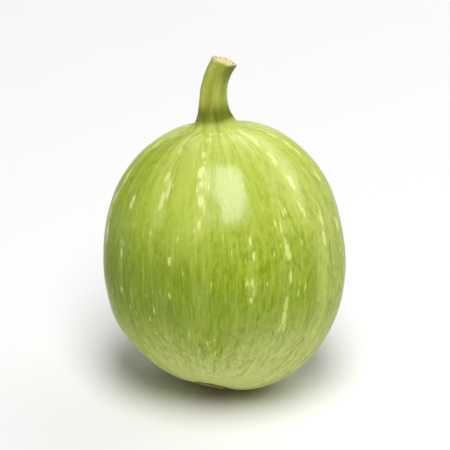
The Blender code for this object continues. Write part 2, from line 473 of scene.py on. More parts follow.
class NodeBoard:
    """A material's nodes, with short calls for the ones that the finishes use."""

    def __init__(self, name: str) -> None:
        """Starts a material that holds one Principled shader.

        Args:
            name: the material's name.
        """
        self.material = bpy.data.materials.new(name)
        self.material.use_nodes = True
        self.tree = self.material.node_tree
        self.shader = self.tree.nodes["Principled BSDF"]

    def feed(self, socket: Socket, value: object) -> None:
        """Links an output to a socket, or sets the socket to a plain value.

        Args:
            socket: the input.
            value: an output, a number, a vector or a colour.
        """
        if isinstance(value, Socket):
            self.tree.links.new(value, socket)
        else:
            socket.default_value = value

    def add(self, kind: str, *values: object, **choices: str) -> bpy.types.Node:
        """Adds a node.

        Args:
            kind: what Blender calls it after "ShaderNode".
            values: what its inputs take, in their order.
            choices: its own choices, by name.

        Returns:
            The node.
        """
        node = self.tree.nodes.new(f"ShaderNode{kind}")
        for name, choice in choices.items():
            setattr(node, name, choice)
        for socket, value in zip(node.inputs, values):
            self.feed(socket, value)
        return node

    def sum(self, kind: Sum, *values: Source) -> Source:
        """Does one sum on a number, or on several from the first to the last.

        Args:
            kind: which sum.
            values: the numbers.

        Returns:
            The result.
        """
        if len(values) == 1:
            return self.add("Math", *values, operation=kind.value).outputs[0]
        result, *others = values
        for other in others:
            result = self.add("Math", result, other, operation=kind.value).outputs[0]
        return result

    def total(self, *values: Source) -> Source:
        """Adds up several numbers."""
        return self.sum(Sum.ADD, *values)

    def product(self, *values: Source) -> Source:
        """Multiplies several numbers, or passes one on."""
        return self.sum(Sum.MULTIPLY, *values) if len(values) > 1 else values[0]

    def attribute(self, name: str) -> bpy.types.Node:
        """Reads a mesh attribute by its name."""
        return self.add("Attribute", attribute_name=name)

    def split(self, vector: Socket) -> tuple[Socket, ...]:
        """Splits a vector into its three numbers."""
        return tuple(self.add("SeparateXYZ", vector).outputs)

    def join(self, x: Source, y: Source, z: Source) -> Socket:
        """Joins three numbers into a vector."""
        return self.add("CombineXYZ", x, y, z).outputs[0]

    def stretch(self, vector: Socket, by: Triple) -> Socket:
        """Multiplies a vector by a fixed one, number by number."""
        return self.add("VectorMath", vector, by, operation="MULTIPLY").outputs[0]

    def dot(self, vector: Socket, other: Triple) -> Socket:
        """Measures how far a vector reaches along a fixed one."""
        return self.add("VectorMath", vector, other, operation="DOT_PRODUCT").outputs["Value"]

    def noise(self, vector: Socket, layers: float = 2.0, roughness: float = 0.5) -> Socket:
        """Reads smooth noise at a vector: its value is mostly between 0.3 and 0.7."""
        return self.add("TexNoise", vector, 0.0, 1.0, layers, roughness).outputs[0]

    def fit(self, value: Source, fade: Fade) -> Socket:
        """Maps a value by a fade."""
        numbers = (fade.low, fade.high, fade.at_low, fade.at_high)
        return self.add("MapRange", value, *numbers, interpolation_type="SMOOTHSTEP").outputs[0]

    def paint(self, under: object, over: object, *shares: Source) -> Socket:
        """Lays one colour over another.

        Args:
            under: the colour below, as an output or a red, green and blue.
            over: the colour on top, in the same forms.
            shares: how much of the top colour shows, as numbers whose product is taken.

        Returns:
            The mixed colour.
        """
        node = self.add("Mix", self.product(*shares), data_type="RGBA")
        inputs = {socket.identifier: socket for socket in node.inputs}
        for name, colour in (("A_Color", under), ("B_Color", over)):
            self.feed(inputs[name], (*colour, 1.0) if isinstance(colour, tuple) else colour)
        return next(socket for socket in node.outputs if socket.identifier == "Result_Color")

    def raise_by(self, height: Source, distance: float) -> Socket:
        """Adds fine relief.

        Args:
            height: from 0 to 1.
            distance: how far 1 stands above 0, in metres.

        Returns:
            The relief's normal.
        """
        node = self.add("Bump")
        node.inputs["Distance"].default_value = distance
        self.feed(node.inputs["Height"], height)
        return node.outputs[0]

    def finish(self, inputs: dict[str, object]) -> bpy.types.Material:
        """Feeds the shader.

        Args:
            inputs: what its inputs take, by their names.

        Returns:
            The finished material.
        """
        for name, value in inputs.items():
            self.feed(self.shader.inputs[name], value)
        return self.material


class PieceBoard(NodeBoard):
    """The nodes of a piece whose mesh says where on the piece each of its points lies."""

    def __init__(self, name: str, place: str) -> None:
        """Starts the material.

        Args:
            name: the material's name.
            place: the mesh attribute that says where.
        """
        super().__init__(name)
        self.place: Socket = self.attribute(place).outputs["Vector"]
        self.readings: dict[Reading, Source] = {}

    def grain(self, grain: Grain) -> Socket:
        """Reads noise all over the piece."""
        return self.noise(self.stretch(self.place, grain.scale), grain.layers, grain.roughness)

    def cells(self, scale: Triple) -> bpy.types.Node:
        """Covers the piece with cells, with the distance to each one's point and a colour by chance."""
        return self.add("TexVoronoi", self.stretch(self.place, scale), 0.0, 1.0)

    def fade(self, reading: Reading, fade: Fade) -> Socket:
        """Maps one of the piece's readings by a fade."""
        return self.fit(self.readings[reading], fade)

    def share(self, coat: Coat) -> Source:
        """Works out how much of a coat shows."""
        return self.product(*(self.fade(reading, fade) for reading, fade in coat.follows))

    def lay(self, colour: object, *coats: Coat) -> Socket:
        """Lays coats over a colour, and labels their nodes.

        Args:
            colour: the colour below, as an output or a red, green and blue.
            coats: the coats, from the lowest up.

        Returns:
            The colour of them all.
        """
        for coat in coats:
            colour = self.paint(colour, coat.colour, self.share(coat))
            colour.node.label = coat.name
        return colour


@dataclass(frozen=True)
class Chain:
    """A set of meridians that carry broken rows of flecks."""

    lines: int
    seed: float
    pitch: float
    width: float
    strength: Fade
    few: Fade


@dataclass(frozen=True)
class Row:
    """One meridian with beads: degrees right of the front, its span of the way down, its strengths."""

    azimuth: float
    start: float
    end: float
    beads: float
    halo: float
    halo_width: float


@dataclass(frozen=True)
class Patch:
    """A soft patch of another colour, used both for tones of the skin and for painted light and shade:
    degrees to the right of the front, and share of the way down.
    """

    azimuth: float
    down: float
    half_width: float
    half_height: float
    colour: Triple
    strength: float


@dataclass(frozen=True)
class SkinFinish:
    """Waxy green skin with rows of pale beads along its meridians, and the corky blossom scar."""

    deep: Triple = shown(120, 145, 4)
    green: Triple = shown(160, 179, 28)
    leafy: Triple = shown(108, 134, 4)
    bright: Triple = shown(178, 201, 62)
    pale: Triple = shown(188, 201, 90)
    cream: Triple = shown(224, 230, 144)
    soft_fleck: Triple = shown(204, 218, 112)
    halo: Triple = shown(196, 209, 104)
    # pale colour of the blossom end, which also paints light: the floor's bounce on the lower skin and a
    # reflection on the right side
    pale_chin_and_painted_light: Triple = shown(206, 211, 130)
    dry: Triple = shown(150, 138, 76)
    cork: Triple = shown(176, 152, 104)
    cork_dark: Triple = shown(96, 72, 34)
    groove: Triple = shown(112, 112, 40)

    thread_grain: Grain = Grain((44.0, 44.0, 13.0), 3.0, 0.6)
    mottle_grain: Grain = Grain((24.0, 24.0, 38.0), 3.0, 0.7)
    streak_grain: Grain = Grain((9.0, 9.0, 2.2), 3.0, 0.6)
    cloud_grain: Grain = Grain((1.6, 1.6, 3.2))
    row_sway: Grain = Grain((1.1, 1.1, 4.0), 1.0)
    line_sway: Grain = Grain((0.8, 0.8, 3.4), 0.0)
    fray_grain: Grain = Grain((20.0, 20.0, 12.0))
    ragged_grain: Grain = Grain((70.0, 70.0, 60.0), 2.0, 0.6)
    rub_grain: Grain = Grain((3.1, 3.1, 9.0), 6.0, 0.75)
    cork_grain: Grain = Grain((9.0, 9.0, 160.0), 4.0, 0.7)
    pore_scale: Triple = (40.0, 40.0, 90.0)
    bead_scale: Triple = (13.0, 13.0, 29.0)
    speck_scale: Triple = (6.5, 6.5, 19.0)

    patch_inside: float = 0.3
    patch_outside: float = 1.6
    patch_streaks: Fade = Fade(0.32, 0.60, 0.65, 1.0)
    patch_mottle: Fade = Fade(0.34, 0.60, 0.60, 1.0)
    # the pale blossom end, partly the skin's own paler chin and partly painted light bounced up from the
    # floor: how noise breaks its edge, and where it fades in
    chin_and_bounce_streaks: Fade = Fade(0.3, 0.7, -0.025, 0.025)
    chin_and_bounce_mottle: Fade = Fade(0.3, 0.7, -0.04, 0.04)
    chin_and_bounce_fade: Fade = Fade(0.70, 0.90, 0.0, 0.95)

    wander: float = 0.015
    row_side: Fade = Fade(0.0, 0.2)
    row_end: float = 0.03
    row_fray: Fade = Fade(0.3, 0.7, -0.6, 0.6)
    band_streaks: Fade = Fade(0.36, 0.58, 0.45, 1.0)
    band_mottle: Fade = Fade(0.38, 0.58, 0.60, 1.0)
    bead_reach: float = 1.6
    bead_core: float = 0.4
    bead_size: Fade = Fade(0.0, 1.0, 0.42, 0.70)
    bead_fray: float = 0.14
    bead_edge: Fade = Fade(0.0, 0.26)
    bead_chance: float = 0.8
    bead_keep: Fade = Fade(0.0, 0.16)
    bead_strength: float = 0.85
    bead_dulling: Fade = Fade(0.34, 0.62)
    stray_beads: float = 0.04

    fine_chain: Chain = Chain(89, 8.1, 34.0, 0.50, Fade(0.30, 0.62, 0.3, 1.0), Fade(0.30, 0.85, 0.60, 0.60))
    dark_chain: Chain = Chain(61, 5.9, 30.0, 0.30, Fade(0.30, 0.62, 0.4, 1.0), Fade(0.30, 0.85, 0.60, 0.54))
    dark_upper_end: Fade = Fade(0.25, 0.5, 0.1, 0.65)
    dark_lower_end: Fade = Fade(0.86, 0.70)
    line_step: float = 5.83
    dash_roughness: float = 0.4
    dash_ragged: Fade = Fade(0.3, 0.7, -0.05, 0.05)
    dash_edge: Fade = Fade(0.0, 0.09)
    run_seed_step: float = 11.0
    run_share: float = 0.2
    run_lift: Fade = Fade(0.25, 0.75, -0.08, 0.08)

    speck_chance: Fade = Fade(0.72, 1.0, 0.0, 0.20)
    speck_size: Fade = Fade(0.0, 1.0, 0.4, 1.0)
    speck_edge: Fade = Fade(0.0, 0.05)
    speck_strength: float = 0.55
    rub_edge: Fade = Fade(0.69, 0.76)
    rub_strength: float = 0.45
    scar_side: Fade = Fade(0.79, 0.81)
    scar_ragged: Fade = Fade(0.3, 0.7, -0.5, 0.5)
    near_scar: Fade = Fade(0.84, 0.86)
    cork_disc: Fade = Fade(4.6, 4.0)

    roughness: Fade = Fade(0.3, 0.7, 0.20, 0.30)
    scuff_roughness: float = 0.25
    cork_roughness: float = 0.4
    relief: float = 0.03 * MM
    fleck_relief: float = 0.4
    thread_relief: float = 0.25
    mottle_relief: float = 0.4
    pore_relief: float = 0.5
    refraction: float = 1.44
    gloss_by_place: Fade = Fade(0.32, 0.52, 0.66, 0.36)
    gloss_by_edge: Fade = Fade(0.26, 0.66, 1.0, 0.10)

    def rows(self) -> tuple[Row, ...]:
        """Lists the beaded meridians, from the front round to the right and the back.

        Returns:
            The meridians.
        """
        return (
            Row(13.0, 0.37, 0.57, 1.4, 0.50, 2.4),
            Row(32.0, 0.30, 0.66, 0.8, 0.40, 2.4),
            # the wide pale halo of this row is partly a painted reflection of a softbox along the right
            # shoulder
            Row(46.0, 0.05, 0.40, 0.8, 0.80, 3.6),
            Row(57.0, 0.34, 0.68, 0.4, 0.55, 4.5),
            Row(76.0, 0.12, 0.48, 0.8, 0.50, 2.4),
            Row(97.0, 0.06, 0.34, 0.9, 0.60, 2.8),
            Row(113.0, 0.30, 0.62, 0.7, 0.35, 1.8),
            Row(131.0, 0.08, 0.44, 1.0, 0.55, 2.4),
            Row(152.0, 0.22, 0.58, 0.7, 0.40, 2.0),
            Row(169.0, 0.06, 0.36, 0.9, 0.60, 2.8),
            Row(188.0, 0.28, 0.66, 0.8, 0.35, 1.8),
            Row(206.0, 0.06, 0.42, 0.9, 0.55, 2.6),
            Row(227.0, 0.26, 0.60, 0.7, 0.40, 2.0),
            Row(244.0, 0.06, 0.38, 1.0, 0.60, 2.6),
            Row(263.0, 0.20, 0.54, 0.8, 0.40, 2.0),
            Row(281.0, 0.08, 0.44, 0.8, 0.45, 2.2),
            Row(302.0, 0.30, 0.60, 0.5, 0.30, 1.8),
            Row(325.0, 0.05, 0.37, 0.8, 0.75, 3.6),
            Row(334.0, 0.42, 0.55, 0.35, 0.25, 1.6),
            Row(341.0, 0.55, 0.70, 0.5, 0.20, 1.6),
            Row(347.5, 0.04, 0.40, 1.1, 0.80, 3.2),
        )

    def patches(self) -> tuple[Patch, ...]:
        """Lists the large soft patches, in the order in which they are laid. Some are painted shade and
        painted light, as noted beside them.

        Returns:
            The patches.
        """
        return (
            # painted shade down the left side
            Patch(-50.0, 0.50, 50.0, 0.18, self.leafy, 0.72),
            # darker band across the lower front: partly the skin's darker middle, partly painted shade
            Patch(0.0, 0.63, 50.0, 0.11, self.leafy, 0.40),
            Patch(165.0, 0.55, 60.0, 0.16, self.leafy, 0.45),
            # painted light: a pale patch on the front shoulder round the highlight, where the overhead
            # softbox falls
            Patch(10.0, 0.24, 55.0, 0.18, self.pale, 0.95),
            # paler right side: partly the skin's tone, partly a painted reflection of the right-hand lamp
            Patch(84.0, 0.48, 26.0, 0.30, self.pale_chin_and_painted_light, 0.42),
            # pale lower right: partly the skin's tone, partly painted light bounced from the floor
            Patch(46.0, 0.77, 32.0, 0.13, self.pale_chin_and_painted_light, 0.70),
            # pale lower left: partly the skin's tone, partly painted light bounced from the floor
            Patch(-45.0, 0.80, 30.0, 0.10, self.pale_chin_and_painted_light, 0.40),
            Patch(-42.0, 0.30, 30.0, 0.14, self.bright, 0.60),
            # painted shade: a darker green spot under the highlight, which holds the highlight down
            Patch(5.0, 0.29, 17.0, 0.11, self.green, 0.85),
            # pale lower left: partly the skin's tone, partly painted light bounced from the floor
            Patch(-70.0, 0.76, 55.0, 0.12, self.pale, 0.45),
            Patch(-130.0, 0.30, 40.0, 0.18, self.pale, 0.55),
        )

    def low_coats(self) -> tuple[Coat, ...]:
        """Lists the coats under the patches.

        Returns:
            The coats.
        """
        return (
            Coat("mottled green", self.green, ((Reading.MOTTLE, Fade(0.34, 0.60)),)),
            Coat("deeper clouds", self.deep, ((Reading.CLOUDS, Fade(0.62, 0.40, 0.0, 0.35)),)),
        )

    def high_coats(self) -> tuple[Coat, ...]:
        """Lists the coats over the patches: threads, streaks, the pale skin near the stem, and green ticks
        round its foot that are partly painted shade.

        Returns:
            The coats.
        """
        down, threads = Reading.DOWN, Reading.THREADS
        mottle, streaks = Reading.MOTTLE, Reading.STREAKS
        streaked = (streaks, Fade(0.50, 0.66)), (down, Fade(0.35, 0.60, 0.42, 0.20))
        shoulder = (down, Fade(0.36, 0.08)), (streaks, Fade(0.42, 0.56, 0.08, 0.95))
        crown = (
            (down, Fade(0.20, 0.06, 0.0, 0.66)),
            (mottle, Fade(0.38, 0.58, 0.50, 1.0)),
            (streaks, Fade(0.38, 0.58, 0.60, 1.0)),
        )
        # a ring just outside the stem's foot: partly green ticks on the skin, partly painted shade where the
        # foot's toes meet the skin
        ticks_and_foot_shade = (
            (down, Fade(0.060, 0.070)), (down, Fade(0.110, 0.080)), (threads, Fade(0.50, 0.60, 0.0, 0.60)),
        )
        return (
            Coat("pale threads", self.pale, ((threads, Fade(0.46, 0.74, 0.0, 0.45)),)),
            Coat("pale streaks", self.pale, streaked),
            Coat("pale shoulder", self.pale, shoulder),
            Coat("creamy crown", self.cream, crown),
            Coat("green ticks and painted shade round the stem", self.leafy, ticks_and_foot_shade),
        )

    def scar_coats(self) -> tuple[Coat, ...]:
        """Lists the coats of the blossom scar, from its pale surround in to its pit.

        Returns:
            The coats.
        """
        near = (Reading.DOWN, self.near_scar)
        disc = (Reading.SCAR_EDGE, self.cork_disc)
        stain = (Reading.GRAIN, Fade(0.50, 0.66, 0.0, 0.7))
        return (
            Coat("pale surround", self.cream, (near, (Reading.SCAR_EDGE, Fade(9.0, 5.0, 0.0, 0.6)))),
            Coat("groove", self.groove, (near, (Reading.SCAR_EDGE, Fade(5.9, 5.1)))),
            Coat("cork", self.cork, (near, disc)),
            Coat("stains in the cork", self.cork_dark, (near, disc, stain)),
            Coat("pit", self.cork_dark, (near, (Reading.SCAR_AWAY, Fade(1.1, 0.6)))),
        )

    def material(self) -> bpy.types.Material:
        """Builds the skin's nodes.

        Returns:
            The material.
        """
        board = PieceBoard("gourd_skin", SKIN_PLACE)
        cosine, sine, down = board.split(board.place)
        board.readings = {
            Reading.DOWN: down,
            Reading.AROUND: board.sum(Sum.TURN, sine, cosine),
            Reading.SPAN: board.attribute(SKIN_SPAN).outputs["Fac"],
            Reading.FACING: board.add("LayerWeight").outputs["Facing"],
            Reading.THREADS: board.grain(self.thread_grain),
            Reading.MOTTLE: board.grain(self.mottle_grain),
            Reading.STREAKS: board.grain(self.streak_grain),
            Reading.CLOUDS: board.grain(self.cloud_grain),
        }
        colour = self.ground(board)
        colour, flecks = self.markings(board, colour)
        colour, rough = self.scuffs(board, colour, board.fade(Reading.MOTTLE, self.roughness))
        colour, rough = self.scar(board, colour, rough)
        height = board.total(
            board.product(flecks, self.fleck_relief),
            board.product(board.readings[Reading.THREADS], self.thread_relief),
            board.product(board.readings[Reading.MOTTLE], self.mottle_relief),
            board.product(board.cells(self.pore_scale).outputs["Distance"], self.pore_relief),
        )
        gloss = board.product(
            board.fade(Reading.FACING, self.gloss_by_edge), board.fade(Reading.DOWN, self.gloss_by_place)
        )
        return board.finish({
            "Base Color": colour,
            "Roughness": rough,
            "Normal": board.raise_by(height, self.relief),
            "Specular IOR Level": gloss,
            "IOR": self.refraction,
        })

    def ground(self, board: PieceBoard) -> Socket:
        """Mixes the greens under the markings: mottled, with soft patches, some of them painted shade and
        painted light, paler at the stem, and paler at the blossom end partly as painted light bounced from
        the floor.

        Args:
            board: the skin's nodes.

        Returns:
            The colour.
        """
        colour = board.lay(self.deep, *self.low_coats())
        broken = board.product(
            board.fade(Reading.STREAKS, self.patch_streaks), board.fade(Reading.MOTTLE, self.patch_mottle)
        )
        for patch in self.patches():
            colour = board.paint(colour, patch.colour, self.patch(board, patch), broken)
        colour = board.lay(colour, *self.high_coats())
        # pale blossom end: partly the skin's paler chin, partly painted light bounced up from the white floor
        low = board.total(
            board.readings[Reading.DOWN],
            board.fade(Reading.STREAKS, self.chin_and_bounce_streaks),
            board.fade(Reading.MOTTLE, self.chin_and_bounce_mottle),
        )
        return board.paint(colour, self.pale_chin_and_painted_light, board.fit(low, self.chin_and_bounce_fade))

    def patch(self, board: PieceBoard, patch: Patch) -> Source:
        """Reads how strongly a soft patch covers each place.

        Args:
            board: the skin's nodes.
            patch: the patch.

        Returns:
            The share of its colour.
        """
        outer, inner = (
            math.cos(math.radians(patch.half_width * share))
            for share in (self.patch_outside, self.patch_inside)
        )
        facing = board.fit(board.dot(board.place, front_turn(patch.azimuth)), Fade(outer, inner))
        off = board.sum(Sum.ABSOLUTE, board.sum(Sum.SUBTRACT, board.readings[Reading.DOWN], patch.down))
        reach = Fade(patch.half_height * self.patch_outside, patch.half_height * self.patch_inside)
        return board.product(facing, board.fit(off, reach), patch.strength)

    def markings(self, board: PieceBoard, colour: Socket) -> tuple[Socket, Source]:
        """Lays the beaded rows, the fine pale flecks and the dark ones.

        Args:
            board: the skin's nodes.
            colour: the colour under the markings.

        Returns:
            The new colour, and how strongly a pale mark covers each place.
        """
        beads, band = self.beaded_rows(board)
        streaks = board.fade(Reading.STREAKS, self.band_streaks)
        colour = board.paint(colour, self.halo, band, streaks, board.fade(Reading.MOTTLE, self.band_mottle))
        ends = (board.fade(Reading.DOWN, fade) for fade in (self.dark_lower_end, self.dark_upper_end))
        colour = board.paint(colour, self.leafy, self.flecks(board, self.dark_chain), *ends)
        small = self.flecks(board, self.fine_chain)
        colour = board.paint(colour, self.soft_fleck, small)
        dulled = board.paint(self.cream, self.soft_fleck, board.fade(Reading.DOWN, self.bead_dulling))
        return board.paint(colour, dulled, beads), board.sum(Sum.MAXIMUM, small, beads)

    def sway(self, board: PieceBoard, grain: Grain, middle: float, reach: float) -> Socket:
        """Reads how far a line wanders from its meridian.

        Args:
            board: the skin's nodes.
            grain: the noise that it follows.
            middle: what a line that keeps to its meridian gives.
            reach: how far to either side of that it goes.

        Returns:
            The wandering.
        """
        return board.fit(board.grain(grain), Fade(*NOISE_SPAN, middle - reach, middle + reach))

    def beaded_rows(self, board: PieceBoard) -> tuple[Source, Source]:
        """Pale beads strung along some meridians, and the pale bands that they lie in.

        Args:
            board: the skin's nodes.

        Returns:
            How strongly the beads and the bands cover each place.
        """
        drift = self.sway(board, self.row_sway, 0.0, self.wander)
        fray = board.fit(board.grain(self.fray_grain), self.row_fray)
        core: Source = 0.0
        band: Source = 0.0
        for row in self.rows():
            beside = board.dot(board.place, front_turn(row.azimuth + 90.0))
            off = board.product(board.total(beside, drift), board.readings[Reading.SPAN])
            off = board.total(board.sum(Sum.ABSOLUTE, off), fray)
            reach = board.product(
                board.fit(board.dot(board.place, front_turn(row.azimuth)), self.row_side),
                board.fade(Reading.DOWN, Fade(row.start - self.row_end, row.start + self.row_end)),
                board.fade(Reading.DOWN, Fade(row.end + self.row_end, row.end - self.row_end)),
            )
            near = board.product(reach, board.fit(off, Fade(self.bead_reach, self.bead_core, 0.0, row.beads)))
            wide = board.product(reach, board.fit(off, Fade(row.halo_width, 0.0, 0.0, row.halo)))
            core = board.sum(Sum.MAXIMUM, core, near)
            band = board.sum(Sum.MAXIMUM, band, wide)
        grain = board.cells(self.bead_scale)
        chance, size, _ = board.split(grain.outputs["Color"])
        away = board.total(grain.outputs["Distance"], board.product(fray, self.bead_fray))
        bead = board.fit(board.sum(Sum.SUBTRACT, board.fit(size, self.bead_size), away), self.bead_edge)
        strongest = board.sum(Sum.MAXIMUM, core, self.stray_beads)
        kept = board.sum(Sum.SUBTRACT, strongest, board.product(chance, self.bead_chance))
        return board.product(bead, board.fit(kept, self.bead_keep), self.bead_strength), band

    def line(self, board: PieceBoard, chain: Chain) -> tuple[Source, Source]:
        """Finds the nearest of a set of slightly wandering meridians.

        Args:
            board: the skin's nodes.
            chain: the set of meridians.

        Returns:
            The meridian's number, and the distance to it in millimetres.
        """
        line = board.product(board.readings[Reading.AROUND], chain.lines / (2.0 * math.pi))
        line = board.total(line, self.sway(board, self.line_sway, chain.seed, self.wander * chain.lines))
        index = board.sum(Sum.ROUND, line)
        off = board.sum(Sum.ABSOLUTE, board.sum(Sum.SUBTRACT, line, index))
        apart = board.product(board.readings[Reading.SPAN], 2.0 * math.pi / chain.lines)
        return board.sum(Sum.WRAP, index, float(chain.lines)), board.product(off, apart)

    def flecks(self, board: PieceBoard, chain: Chain) -> Source:
        """Rows of short dashes along meridians.

        Args:
            board: the skin's nodes.
            chain: the meridians that carry them.

        Returns:
            How strongly a dash covers each place.
        """
        index, off = self.line(board, chain)
        number = board.product(index, self.line_step)
        down = board.product(board.readings[Reading.DOWN], chain.pitch)
        dashes = board.noise(board.join(number, chain.seed, down), 1.0, self.dash_roughness)
        run_place = board.join(number, chain.seed + self.run_seed_step, board.product(down, self.run_share))
        run = board.noise(run_place, 1.0)
        ragged = board.fit(board.grain(self.ragged_grain), self.dash_ragged)
        strength = board.total(dashes, board.fit(run, self.run_lift), ragged)
        strength = board.sum(Sum.SUBTRACT, strength, board.product(off, chain.width))
        past = board.sum(Sum.SUBTRACT, strength, board.fade(Reading.DOWN, chain.few))
        return board.product(board.fit(past, self.dash_edge), board.fit(run, chain.strength))

    def scuffs(self, board: PieceBoard, colour: Socket, rough: Source) -> tuple[Socket, Source]:
        """Lays a few dry tan specks and rubbed marks over the skin.

        Args:
            board: the skin's nodes.
            colour: the skin's colour.
            rough: the skin's roughness.

        Returns:
            The new colour and roughness.
        """
        specks = board.cells(self.speck_scale)
        chance, size, _ = board.split(specks.outputs["Color"])
        reach = board.product(board.fit(chance, self.speck_chance), board.fit(size, self.speck_size))
        speck = board.fit(board.sum(Sum.SUBTRACT, reach, specks.outputs["Distance"]), self.speck_edge)
        rub = board.fit(board.grain(self.rub_grain), self.rub_edge)
        colour = board.paint(colour, self.dry, speck, self.speck_strength)
        colour = board.paint(colour, self.dry, rub, self.rub_strength)
        scuff = board.sum(Sum.MAXIMUM, speck, rub)
        return colour, board.total(rough, board.product(scuff, self.scuff_roughness))

    def scar(self, board: PieceBoard, colour: Socket, rough: Source) -> tuple[Socket, Source]:
        """Lays the blossom scar's cork over the skin.

        Args:
            board: the skin's nodes.
            colour: the skin's colour.
            rough: the skin's roughness.

        Returns:
            The new colour and roughness.
        """
        away = board.product(board.readings[Reading.SPAN], board.fade(Reading.DOWN, self.scar_side))
        grain = board.grain(self.cork_grain)
        board.readings[Reading.GRAIN] = grain
        board.readings[Reading.SCAR_AWAY] = away
        board.readings[Reading.SCAR_EDGE] = board.total(away, board.fit(grain, self.scar_ragged))
        colour = board.lay(colour, *self.scar_coats())
        near, cork = board.fade(Reading.DOWN, self.near_scar), board.fade(Reading.SCAR_EDGE, self.cork_disc)
        return colour, board.total(rough, board.product(near, cork, self.cork_roughness))


@dataclass(frozen=True)
class StalkFinish:
    """Ridged yellow-green stalk, with painted shade in its grooves, and olive at its foot."""

    ridge: Triple = shown(168, 176, 70)
    groove: Triple = shown(128, 140, 30)
    olive: Triple = shown(100, 110, 4)
    bloom: Triple = shown(196, 202, 122)
    toe: Triple = shown(184, 197, 92)
    thread_grain: Grain = Grain((16.0, 16.0, 5.0), 3.0, 0.6)
    patch_grain: Grain = Grain((1.3, 1.3, 3.0))
    roughness: Fade = Fade(0.3, 0.7, 0.42, 0.62)
    relief: float = 0.10 * MM
    gloss: float = 0.25

    def coats(self) -> tuple[Coat, ...]:
        """Lists the coats over the colour of the ridges.

        Returns:
            The coats.
        """
        up = Reading.UP
        patchy = (Reading.PATCHES, Fade(0.32, 0.60, 0.5225, 0.95))
        foot = (up, Fade(0.46, 0.22)), (up, Fade(0.02, 0.16)), patchy
        tip = (up, Fade(0.62, 0.9)), (Reading.SIDE, Fade(-0.4, 0.5, 0.0, 0.75))
        return (
            # painted shade: darker olive laid into the stalk's grooves
            Coat("grooves", self.groove, ((Reading.GROOVE, Fade(0.35, 1.0, 0.0, 0.5)),)),
            Coat("pale threads", self.bloom, ((Reading.THREADS, Fade(0.48, 0.70, 0.0, 0.65)),)),
            Coat("olive foot", self.olive, foot),
            Coat("olive side of the tip", self.olive, tip),
            Coat("toes of the foot", self.toe, ((up, Fade(0.13, 0.02, 0.0, 0.8)),)),
            Coat("rim of the cut", self.bloom, ((up, Fade(0.97, 1.0, 0.0, 0.8)),)),
        )

    def material(self) -> bpy.types.Material:
        """Builds the stalk's nodes.

        Returns:
            The material.
        """
        board = PieceBoard("gourd_stalk", STALK_PLACE)
        cosine, _, up = board.split(board.place)
        threads = board.grain(self.thread_grain)
        board.readings = {
            Reading.UP: up,
            Reading.SIDE: cosine,
            Reading.GROOVE: board.attribute(STALK_SHADE).outputs["Fac"],
            Reading.THREADS: threads,
            Reading.PATCHES: board.grain(self.patch_grain),
        }
        return board.finish({
            "Base Color": board.lay(self.ridge, *self.coats()),
            "Roughness": board.fit(threads, self.roughness),
            "Normal": board.raise_by(threads, self.relief),
            "Specular IOR Level": self.gloss,
        })


@dataclass(frozen=True)
class CutFaceFinish:
    """Dried cut end: cream pith, a ring of darker strands and a tan edge."""

    pith: Triple = shown(222, 214, 160)
    strand: Triple = shown(150, 150, 72)
    edge: Triple = shown(190, 170, 116)
    strand_count: float = 10.0
    pith_grain: Grain = Grain((9.0, 9.0, 9.0), 4.0, 0.7)
    relief: float = 0.2 * MM
    roughness: float = 0.8

    def coats(self) -> tuple[Coat, ...]:
        """Lists the coats over the pith.

        Returns:
            The coats.
        """
        outward = Reading.OUTWARD
        ring = (Reading.STRANDS, Fade(0.2, 0.9)), (outward, Fade(0.55, 0.66)), (outward, Fade(0.86, 0.76))
        return (
            Coat("dry pith", self.edge, ((Reading.GRAIN, Fade(0.45, 0.7, 0.0, 0.7)),)),
            Coat("ring of strands", self.strand, ring),
            Coat("tan edge", self.edge, ((outward, Fade(0.84, 0.98)),)),
        )

    def material(self) -> bpy.types.Material:
        """Builds the cut face's nodes.

        Returns:
            The material.
        """
        board = PieceBoard("gourd_cut_face", STALK_PLACE)
        cosine, sine, _ = board.split(board.place)
        around = board.sum(Sum.TURN, sine, cosine)
        grain = board.grain(self.pith_grain)
        board.readings = {
            Reading.OUTWARD: board.attribute(STALK_SHADE).outputs["Fac"],
            Reading.STRANDS: board.sum(Sum.SINE, board.product(around, self.strand_count)),
            Reading.GRAIN: grain,
        }
        return board.finish({
            "Base Color": board.lay(self.pith, *self.coats()),
            "Roughness": self.roughness,
            "Normal": board.raise_by(grain, self.relief),
        })


